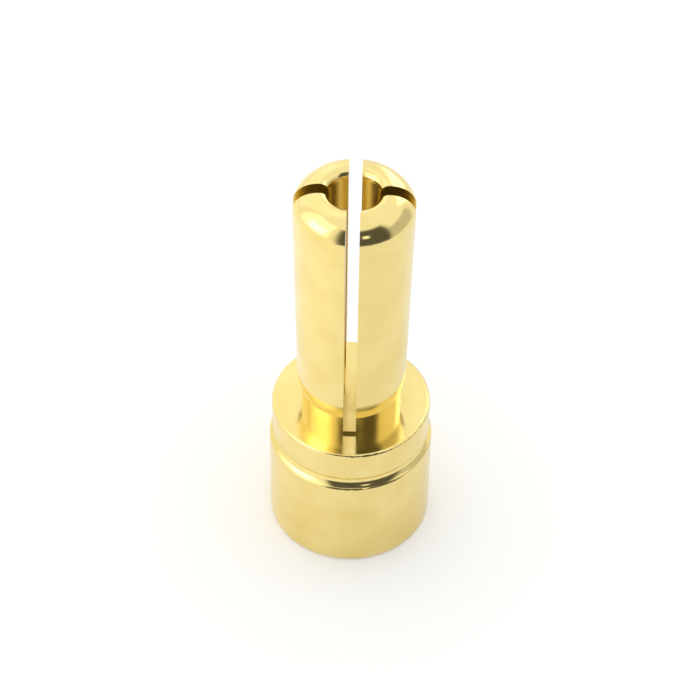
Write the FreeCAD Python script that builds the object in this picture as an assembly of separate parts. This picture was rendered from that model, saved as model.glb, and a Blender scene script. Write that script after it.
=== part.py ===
import FreeCAD, Part
import math
import os

from FreeCAD import Vector

# One turned, drilled and cross-slotted contact that stands on its solder end.
# Millimetres, +Z up the axis towards the tip, origin at the centre of the rear face.

# Rear body and solder cup
body_d = 5.2            # outside of the solder end and of the collar above its groove
rear_round = 0.18       # outer corner of the rear face
cup_d = 4.0             # solder cup bored from the rear
cup_depth = 3.1         # straight part of the cup
cup_round = 0.12        # mouth of the cup
drill_angle = 118.0     # point angle left by the drills

# Ring groove, and the collar that it leaves above it
groove_h = 3.7          # rear face to the middle of the groove
groove_tool_r = 0.22    # form tool that cuts the groove
groove_depth = 0.15     # how far the tool goes in
collar_h = 1.28         # middle of the groove to the collar's flat face
edge_round = 0.07       # broken edges of the groove and the collar

# Neck, turned down so that the four fingers can spring
neck_d = 3.14
neck_h = 0.72           # collar's face to the start of the shoulder
shoulder_h = 0.5        # slope from the neck out to the barrel
shoulder_round = 0.9    # soft corner where that slope meets the barrel

# Sprung barrel and its rounded nose
barrel_d = 3.5
contact_h = 8.8         # collar's face to the tip
nose_round = 0.7        # outer corner of the tip
lip_round = 0.26        # inner corner of the tip, into the bore

# Bore and cross slots, cut from the tip
bore_d = 1.56
slot_w = 0.4            # kerf of the saw
slot_floor_step = 0.12  # collar's face up to the floor of the slots
slot_count = 2          # saw cuts right across the barrel

# Places along the axis, worked out from the sizes above
collar_z = groove_h + collar_h
shoulder_z = collar_z + neck_h
barrel_z = shoulder_z + shoulder_h
tip_z = collar_z + contact_h
slot_floor_z = collar_z + slot_floor_step


def drill_point_h(diameter):
    """Height of the cone that a drill of this diameter leaves at the bottom of its hole."""
    return diameter / 2 / math.tan(math.radians(drill_angle / 2))


def rounded_outline(corners):
    """Closed wire in the XZ plane through (radius, height, corner round) triples."""
    points = [Vector(r, 0, z) for r, z, _ in corners]
    edges = []
    ends = []
    for i, (_, _, corner_round) in enumerate(corners):
        before, here, after = points[i - 1], points[i], points[(i + 1) % len(points)]
        back = (before - here).normalize()
        ahead = (after - here).normalize()
        half_angle = back.getAngle(ahead) / 2
        reach = corner_round / math.tan(half_angle)
        if corner_round > 0:
            start = here + back * reach
            end = here + ahead * reach
            inward = (back + ahead).normalize()
            centre = here + inward * (corner_round / math.sin(half_angle))
            middle = centre - inward * corner_round
            edges.append(Part.Arc(start, middle, end).toShape())
            ends.append((start, end))
        else:
            ends.append((here, here))
    for i, (_, end) in enumerate(ends):
        start = ends[(i + 1) % len(ends)][0]
        edges.append(Part.LineSegment(end, start).toShape())
    return Part.Wire(Part.__sortEdges__(edges))


def turned(corners):
    """Solid of revolution about Z, from the corners of its half section."""
    half_section = Part.Face(rounded_outline(corners))
    return half_section.revolve(Vector(0, 0, 0), Vector(0, 0, 1), 360)


def blank():
    """The outside as it comes off the lathe, before the groove, the holes and the slots."""
    return turned([
        (0, 0, 0),
        (body_d / 2, 0, rear_round),
        (body_d / 2, collar_z, edge_round),
        (neck_d / 2, collar_z, 0),
        (neck_d / 2, shoulder_z, 0),
        (barrel_d / 2, barrel_z, shoulder_round),
        (barrel_d / 2, tip_z, nose_round),
        (0, tip_z, 0),
    ])


def ring_groove():
    """Ring that the form tool cuts between the rear body and the collar."""
    tool_path_r = body_d / 2 - groove_depth + groove_tool_r
    return Part.makeTorus(tool_path_r, groove_tool_r, Vector(0, 0, groove_h))


def solder_cup():
    """Blind hole from the rear, with the drill's cone at its end and a rounded mouth."""
    mouth_r = cup_d / 2 + cup_round
    straight = Part.makeCylinder(cup_d / 2, cup_depth)
    cone = Part.makeCone(cup_d / 2, 0, drill_point_h(cup_d), Vector(0, 0, cup_depth))
    mouth = Part.makeCylinder(mouth_r, cup_round)
    lip = Part.makeTorus(mouth_r, cup_round, Vector(0, 0, cup_round))
    return straight.fuse([cone, mouth.cut(lip)])


def tip_bore():
    """Hole down the middle of the fingers. Its drill point ends level with the slots' floor."""
    straight_z = slot_floor_z + drill_point_h(bore_d)
    lip_z = tip_z - lip_round
    mouth_r = bore_d / 2 + lip_round
    straight = Part.makeCylinder(bore_d / 2, tip_z - straight_z, Vector(0, 0, straight_z))
    cone = Part.makeCone(0, bore_d / 2, straight_z - slot_floor_z, Vector(0, 0, slot_floor_z))
    mouth = Part.makeCylinder(mouth_r, lip_round, Vector(0, 0, lip_z))
    lip = Part.makeTorus(mouth_r, lip_round, Vector(0, 0, lip_z))
    return straight.fuse([cone, mouth.cut(lip)])


def cross_slots():
    """Saw cuts through the axis that part the barrel and the neck into four fingers."""
    cuts = []
    for i in range(slot_count):
        cut = Part.makeBox(
            2 * barrel_d, slot_w, tip_z - slot_floor_z, Vector(-barrel_d, -slot_w / 2, slot_floor_z)
        )
        cut.rotate(Vector(0, 0, 0), Vector(0, 0, 1), i * 180.0 / slot_count)
        cuts.append(cut)
    return cuts


def groove_edges(shape):
    """The two circles where the groove meets the outside of the body."""
    found = []
    for edge in shape.Edges:
        if not isinstance(edge.Curve, Part.Circle):
            continue
        in_groove = abs(edge.Curve.Center.z - groove_h) < groove_tool_r
        on_outside = edge.Curve.Radius > (body_d - groove_depth) / 2
        if in_groove and on_outside:
            found.append(edge)
    return found


def banana_plug():
    plug = blank().cut(ring_groove())
    plug = plug.makeFillet(edge_round, groove_edges(plug))
    plug = plug.cut([solder_cup(), tip_bore()] + cross_slots())
    return plug.removeSplitter()


os.makedirs("parts", exist_ok=True)
plug = banana_plug()
if plug.ShapeType != "Solid":
    plug = plug.Solids[0]
plug.exportStep("parts/banana_plug.step")
print("valid", plug.isValid(), "volume", round(plug.Volume, 3), "length", round(plug.BoundBox.ZLength, 3))
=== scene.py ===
import math

import bpy
from mathutils import Matrix, Vector

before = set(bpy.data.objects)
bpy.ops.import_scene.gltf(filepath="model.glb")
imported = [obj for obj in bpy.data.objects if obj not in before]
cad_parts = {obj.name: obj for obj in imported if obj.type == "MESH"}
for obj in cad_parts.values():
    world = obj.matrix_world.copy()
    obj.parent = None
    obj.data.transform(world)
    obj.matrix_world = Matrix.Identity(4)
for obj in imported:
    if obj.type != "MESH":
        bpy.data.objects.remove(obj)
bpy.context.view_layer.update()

MM = 0.001
IMAGE_PX = 700

# Camera, worked out from the photograph's ellipses and silhouettes. Angles in degrees.
CAMERA_AZIMUTH = 1.3
CAMERA_ELEVATION = 45.65
CAMERA_ROLL = 0.93
CAMERA_DISTANCE = 70.7 * MM
CAMERA_AIM_HEIGHT = 7.28 * MM
AIM_PX = (351.9, 346.5)
FOCAL_PX = 2284.0
SENSOR_MM = 36.0
CLIP_START = 1 * MM

# The collar above the ring groove is turned a little slimmer than the rear body
COLLAR_STEP = 0.096 * MM
COLLAR_FROM_H = 3.52 * MM
COLLAR_FULL_H = 3.94 * MM
COLLAR_INNER_R = 2.2 * MM

# The four fingers are sprung outwards, so the barrel widens towards its nose
NECK_TOP_H = 5.7 * MM
BARREL_FOOT_H = 6.2 * MM
NOSE_START_H = 13.08 * MM
BARREL_FOOT_STEP = -0.05 * MM
BARREL_NOSE_STEP = 0.07 * MM
LIP_R = 1.04 * MM
BARREL_R = 1.75 * MM

# Gold plate: linear colours, and the marks left in the metal below it by lathe, drill and saw
GOLD = (0.95, 0.78, 0.33)
GOLD_THIN = (0.87, 0.69, 0.25)
GOLD_ROUGHNESS = (0.09, 0.19)
DRILLED_ROUGHNESS = 0.26
SAWN_ROUGHNESS = 0.2
BORE_R = 0.78 * MM
KERF_HALF = 0.2 * MM
SLOT_FLOOR_H = 5.1 * MM
EDGE_SOFTNESS = 0.03 * MM
SAWN_SOFTNESS = 0.01 * MM
CLOUD_SIZE = 1.4 * MM
CLOUD_RANGE = (0.3, 0.7)
CLOUD_SHARE = 0.7
RUB_SIZE = CLOUD_SIZE / 6
RUB_RANGE = (0.56, 0.72)
RUB_ROUGHNESS = 0.05
RUB_DEPTH = 0.00015 * MM
TURNING_PITCH = 0.06 * MM
TURNING_DEPTH = 0.0012 * MM
FINE_PITCH = 0.02 * MM
FINE_DEPTH = 0.0004 * MM

# Floor, whose left side throws more light up at the metal than its right
FLOOR_HALF = 400 * MM
FLOOR_COLOUR = 0.93
FLOOR_ROUGHNESS = 0.9
FLOOR_LIFT = 0.12
FLOOR_GLOW_LEFT = 0.18
FLOOR_GLOW_RIGHT = 0.02
FLOOR_GLOW_FROM_X = -12 * MM
FLOOR_GLOW_TO_X = 2 * MM

# Studio cards around the plug, which only its reflections see: name, azimuth from and to,
# elevation from and to, distance in millimetres, radiance. Angles in degrees, seen from
# the nose. Azimuth is 0 on the camera's side and grows to the right.
CARD_CENTRE_H = 13.2 * MM
CARD_FEATHER = 0.12
CARD_COLUMNS = 24
CARD_ROWS = 16
CARDS = (
    ("window_left", -106, -38, -4, 62, 30, 1.5),
    ("lamp_left", -86, -46, 2, 34, 29, 2.8),
    ("dark_front", -34, 72, -26, 58, 30, 0.10),
    ("lamp_front", 17, 28, 16, 28, 29, 1.6),
    ("grey_right", 64, 120, -22, 30, 31, 0.62),
    ("window_back", 126, 172, 8, 44, 30, 2.0),
    ("window_far", 180, 250, 4, 72, 31, 1.18),
)


def direction(azimuth, elevation):
    """Unit vector for angles in degrees. Azimuth 0 is the side that the camera is on."""
    a, e = math.radians(azimuth), math.radians(elevation)
    return Vector((math.sin(a) * math.cos(e), -math.cos(a) * math.cos(e), math.sin(e)))


def new_node(tree, kind, values=(), **settings):
    """Adds a node, sets its properties, and links or sets its inputs by name or number."""
    node = tree.nodes.new(kind)
    for key, value in settings.items():
        setattr(node, key, value)
    for key, value in dict(values).items():
        if isinstance(value, bpy.types.NodeSocket):
            tree.links.new(value, node.inputs[key])
        else:
            node.inputs[key].default_value = value
    return node


def math_node(tree, operation, a, b=0.0, c=0.0):
    """Adds a Math node that takes sockets or plain numbers, and returns its output socket."""
    return new_node(tree, "ShaderNodeMath", {0: a, 1: b, 2: c}, operation=operation).outputs[0]


def vector_node(tree, operation, output, values):
    """Adds a Vector Math node, and returns the output socket of that name."""
    return new_node(tree, "ShaderNodeVectorMath", values, operation=operation).outputs[output]


def remap(tree, value, from_low, from_high, to_low, to_high, blend="LINEAR"):
    """Carries a value from one range to another, and holds it at that range's ends."""
    values = {
        "Value": value,
        "From Min": from_low,
        "From Max": from_high,
        "To Min": to_low,
        "To Max": to_high,
    }
    return new_node(tree, "ShaderNodeMapRange", values, interpolation_type=blend).outputs["Result"]


def from_axis(tree, point):
    """Sockets for a point's vector from the plug's axis, its length, and the point's height."""
    flat = vector_node(tree, "MULTIPLY", "Vector", {0: point, 1: (1, 1, 0)})
    radius = vector_node(tree, "LENGTH", "Value", {0: flat})
    height = new_node(tree, "ShaderNodeSeparateXYZ", {0: point}).outputs["Z"]
    return flat, radius, height


def new_material(name):
    """A material with nodes, its tree, and its Principled shader."""
    material = bpy.data.materials.new(name)
    material.use_nodes = True
    return material, material.node_tree, material.node_tree.nodes["Principled BSDF"]


def make_camera():
    """Camera at the photograph's place, which looks past the axis to put it where it is there."""
    camera = bpy.data.objects.new("camera", bpy.data.cameras.new("camera"))
    bpy.context.scene.collection.objects.link(camera)
    camera.data.sensor_width = SENSOR_MM
    camera.data.lens = FOCAL_PX / IMAGE_PX * SENSOR_MM
    camera.data.clip_start = CLIP_START
    back = direction(CAMERA_AZIMUTH, CAMERA_ELEVATION)
    right = Vector((0, 0, 1)).cross(back).normalized()
    up = back.cross(right)
    per_px = CAMERA_DISTANCE / FOCAL_PX
    target = Vector((0, 0, CAMERA_AIM_HEIGHT))
    camera.location = target + back * CAMERA_DISTANCE
    aim_x, aim_y = (px - IMAGE_PX / 2 for px in AIM_PX)
    aim = target - right * aim_x * per_px + up * aim_y * per_px
    turn = (aim - camera.location).to_track_quat("-Z", "Y").to_matrix()
    turn = turn @ Matrix.Rotation(math.radians(CAMERA_ROLL), 3, "Z")
    camera.rotation_mode = "QUATERNION"
    camera.rotation_quaternion = turn.to_quaternion()
    bpy.context.scene.camera = camera


def ease_outline(plug):
    """Geometry-nodes modifier that slims the collar and springs the fingers outwards."""
    tree = bpy.data.node_groups.new("ease_outline", "GeometryNodeTree")
    tree.interface.new_socket("Geometry", in_out="INPUT", socket_type="NodeSocketGeometry")
    tree.interface.new_socket("Geometry", in_out="OUTPUT", socket_type="NodeSocketGeometry")
    group_in = tree.nodes.new("NodeGroupInput")
    group_out = tree.nodes.new("NodeGroupOutput")
    position = tree.nodes.new("GeometryNodeInputPosition").outputs["Position"]
    flat, radius, height = from_axis(tree, position)
    outward = vector_node(tree, "NORMALIZE", "Vector", {0: flat})
    collar = remap(tree, height, COLLAR_FROM_H, COLLAR_FULL_H, 0, -COLLAR_STEP)
    on_collar = math_node(tree, "GREATER_THAN", radius, COLLAR_INNER_R)
    foot = remap(tree, height, NECK_TOP_H, BARREL_FOOT_H, 0, BARREL_FOOT_STEP)
    spring = BARREL_NOSE_STEP - BARREL_FOOT_STEP
    barrel = remap(tree, height, BARREL_FOOT_H, NOSE_START_H, 0, spring)
    on_barrel = remap(tree, radius, LIP_R, BARREL_R, 0, 1)
    barrel = math_node(tree, "MULTIPLY", math_node(tree, "ADD", foot, barrel), on_barrel)
    amount = math_node(tree, "MULTIPLY_ADD", collar, on_collar, barrel)
    offset = vector_node(tree, "SCALE", "Vector", {0: outward, "Scale": amount})
    values = {"Geometry": group_in.outputs["Geometry"], "Offset": offset}
    moved = new_node(tree, "GeometryNodeSetPosition", values)
    tree.links.new(moved.outputs["Geometry"], group_out.inputs["Geometry"])
    plug.modifiers.new("ease_outline", "NODES").node_group = tree


def rings(tree, along, pitch):
    """Noise that changes only along the outline, which makes rings round the axis."""
    place = math_node(tree, "DIVIDE", along, pitch)
    values = {"W": place, "Scale": 1.0, "Detail": 2.0}
    return new_node(tree, "ShaderNodeTexNoise", values, noise_dimensions="1D").outputs[0]


def noise(tree, point, size, detail, distortion=0.0):
    """Noise in space, with patches of about this size."""
    values = {"Vector": point, "Scale": 1 / size, "Detail": detail, "Distortion": distortion}
    return new_node(tree, "ShaderNodeTexNoise", values).outputs[0]


def cut_faces(tree, point, radius, height):
    """Masks of the saw cuts' faces and of the drilled bore's wall."""
    sides = new_node(tree, "ShaderNodeSeparateXYZ", {0: point}).outputs
    across = math_node(tree, "ABSOLUTE", sides["X"])
    along = math_node(tree, "ABSOLUTE", sides["Y"])
    off_cut = math_node(tree, "MINIMUM", across, along)
    sawn = remap(tree, off_cut, KERF_HALF, KERF_HALF + SAWN_SOFTNESS, 1, 0)
    above_floor = math_node(tree, "GREATER_THAN", height, SLOT_FLOOR_H - EDGE_SOFTNESS)
    sawn = math_node(tree, "MULTIPLY", sawn, above_floor)
    drilled = remap(tree, radius, BORE_R, BORE_R + EDGE_SOFTNESS, 1, 0)
    return sawn, drilled


def gold_material():
    """Gold plate over turned brass: cloudy sheen, rings from the lathe, and a few rub marks."""
    material, tree, shader = new_material("gold_plate")
    shader.inputs["Metallic"].default_value = 1.0
    point = tree.nodes.new("ShaderNodeTexCoord").outputs["Object"]
    _, radius, height = from_axis(tree, point)
    along = math_node(tree, "ADD", radius, height)
    coarse = rings(tree, along, TURNING_PITCH)
    fine = rings(tree, along, FINE_PITCH)
    clouds = noise(tree, point, CLOUD_SIZE, 4.0)
    rubs = noise(tree, point, RUB_SIZE, 5.0, 1.5)
    worn = remap(tree, rubs, *RUB_RANGE, 0, 1, "SMOOTHSTEP")

    thin = remap(tree, clouds, *CLOUD_RANGE, 0, 1)
    colours = {0: thin, 6: (*GOLD, 1), 7: (*GOLD_THIN, 1)}
    mix = new_node(tree, "ShaderNodeMix", colours, data_type="RGBA")
    tree.links.new(mix.outputs[2], shader.inputs["Base Color"])

    sheen = math_node(tree, "MULTIPLY", coarse, 1 - CLOUD_SHARE)
    sheen = math_node(tree, "MULTIPLY_ADD", clouds, CLOUD_SHARE, sheen)
    rough = remap(tree, sheen, *CLOUD_RANGE, *GOLD_ROUGHNESS)
    rough = math_node(tree, "MULTIPLY_ADD", worn, RUB_ROUGHNESS, rough)
    for mask, level in zip(cut_faces(tree, point, radius, height), (SAWN_ROUGHNESS, DRILLED_ROUGHNESS)):
        rough = new_node(tree, "ShaderNodeMix", {0: mask, 2: rough, 3: level}).outputs[0]
    tree.links.new(rough, shader.inputs["Roughness"])

    relief = math_node(tree, "MULTIPLY", coarse, TURNING_DEPTH)
    relief = math_node(tree, "MULTIPLY_ADD", fine, FINE_DEPTH, relief)
    relief = math_node(tree, "MULTIPLY_ADD", worn, -RUB_DEPTH, relief)
    bump = new_node(tree, "ShaderNodeBump", {"Height": relief, "Strength": 1.0, "Distance": 1.0})
    tree.links.new(bump.outputs["Normal"], shader.inputs["Normal"])
    return material


def make_floor():
    """White floor. It glows a little for the camera and in reflections, so the shadow stays."""
    mesh = bpy.data.meshes.new("floor")
    half = FLOOR_HALF
    corners = [(-half, -half, 0), (half, -half, 0), (half, half, 0), (-half, half, 0)]
    mesh.from_pydata(corners, [], [(0, 1, 2, 3)])
    floor = bpy.data.objects.new("floor", mesh)
    bpy.context.scene.collection.objects.link(floor)
    material, tree, shader = new_material("floor")
    shader.inputs["Base Color"].default_value = (*[FLOOR_COLOUR] * 3, 1)
    shader.inputs["Roughness"].default_value = FLOOR_ROUGHNESS
    shader.inputs["Specular IOR Level"].default_value = 0.0
    point = tree.nodes.new("ShaderNodeTexCoord").outputs["Object"]
    across = new_node(tree, "ShaderNodeSeparateXYZ", {0: point}).outputs["X"]
    places = (FLOOR_GLOW_FROM_X, FLOOR_GLOW_TO_X)
    glow = remap(tree, across, *places, FLOOR_GLOW_LEFT, FLOOR_GLOW_RIGHT, "SMOOTHSTEP")
    path = tree.nodes.new("ShaderNodeLightPath").outputs
    lift = math_node(tree, "MULTIPLY", path["Is Camera Ray"], FLOOR_LIFT)
    lift = math_node(tree, "MULTIPLY_ADD", path["Is Transmission Ray"], FLOOR_LIFT, lift)
    lift = math_node(tree, "MULTIPLY_ADD", path["Is Glossy Ray"], glow, lift)
    shader.inputs["Emission Color"].default_value = (1, 1, 1, 1)
    tree.links.new(lift, shader.inputs["Emission Strength"])
    mesh.materials.append(material)


def card_material(name, radiance):
    """Plain light that fades out towards the card's edges."""
    material = bpy.data.materials.new(name)
    material.use_nodes = True
    tree = material.node_tree
    tree.nodes.clear()
    place = tree.nodes.new("ShaderNodeTexCoord").outputs["UV"]
    sides = new_node(tree, "ShaderNodeSeparateXYZ", {0: place}).outputs
    across, upward = (math_node(tree, "PINGPONG", sides[axis], 0.5) for axis in ("X", "Y"))
    inside = math_node(tree, "MINIMUM", across, upward)
    solid = remap(tree, inside, 0, CARD_FEATHER, 0, 1, "SMOOTHSTEP")
    clear = tree.nodes.new("ShaderNodeBsdfTransparent").outputs[0]
    light = new_node(tree, "ShaderNodeEmission", {"Strength": radiance}).outputs[0]
    mix = new_node(tree, "ShaderNodeMixShader", {0: solid, 1: clear, 2: light})
    out = tree.nodes.new("ShaderNodeOutputMaterial")
    tree.links.new(mix.outputs[0], out.inputs["Surface"])
    return material


def make_card(name, az_from, az_to, el_from, el_to, distance, radiance):
    """Patch of a sphere round the nose, seen in reflections only."""
    columns, rows = CARD_COLUMNS, CARD_ROWS
    centre = Vector((0, 0, CARD_CENTRE_H))
    points, faces, places = [], [], []
    for j in range(rows + 1):
        for i in range(columns + 1):
            u, v = i / columns, j / rows
            azimuth = az_from + (az_to - az_from) * u
            elevation = el_from + (el_to - el_from) * v
            points.append(centre + direction(azimuth, elevation) * distance * MM)
            places.append((u, v))
    for j in range(rows):
        for i in range(columns):
            first = j * (columns + 1) + i
            above = first + columns + 1
            faces.append((first, first + 1, above + 1, above))
    mesh = bpy.data.meshes.new(name)
    mesh.from_pydata(points, [], faces)
    layer = mesh.uv_layers.new(name="place")
    for loop in mesh.loops:
        layer.data[loop.index].uv = places[loop.vertex_index]
    mesh.materials.append(card_material(name, radiance))
    card = bpy.data.objects.new(name, mesh)
    bpy.context.scene.collection.objects.link(card)
    card.visible_camera = False
    card.visible_diffuse = False
    card.visible_shadow = False


def make_world():
    """Even white light from all sides."""
    world = bpy.data.worlds.new("world")
    bpy.context.scene.world = world
    world.use_nodes = True
    background = world.node_tree.nodes["Background"]
    background.inputs["Color"].default_value = (1, 1, 1, 1)
    background.inputs["Strength"].default_value = 1.0


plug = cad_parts["banana_plug"]
plug.data.materials.clear()
plug.data.materials.append(gold_material())
ease_outline(plug)
make_camera()
make_floor()
make_world()
for card in CARDS:
    make_card(*card)

bpy.context.scene.view_settings.view_transform = "Standard"
